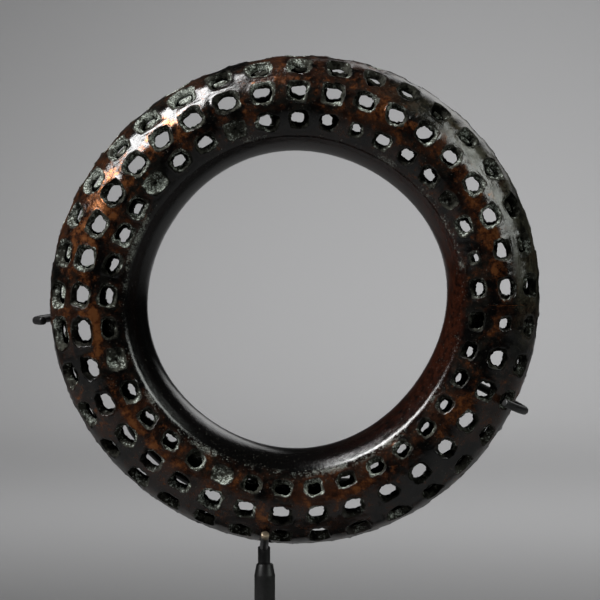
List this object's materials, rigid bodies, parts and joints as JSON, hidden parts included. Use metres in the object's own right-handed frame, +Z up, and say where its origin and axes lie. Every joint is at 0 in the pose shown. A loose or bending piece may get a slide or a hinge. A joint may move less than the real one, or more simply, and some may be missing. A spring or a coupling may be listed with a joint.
{
  "type": "bracelet on display stand",
  "caption": "Hollow cast bronze bracelet, a closed round ring pierced by rows of holes, held upright by a wire cradle on a post and base plate.",
  "frame": {"origin": "centre of the base plate's underside, on the surface that the stand rests on", "axes": "+Z up; the ring stands in the XZ plane and its open centre faces the front, -Y; +X to the right as seen from the front"},
  "size_m": [0.1222, 0.066, 0.2014],
  "materials": {
    "bronze": "dark brown to black patina, glossy, with copper-brown patches and pale crust in the holes",
    "wire": "black, satin, worn to bright metal at the tips",
    "post_black": "black, satin",
    "plate_black": "black, satin, slightly grained"
  },
  "bodies": {
    "root": {"bracelet": "bronze", "cradle": "wire", "post": "post_black", "base": "plate_black"}
  },
  "joints": []
}
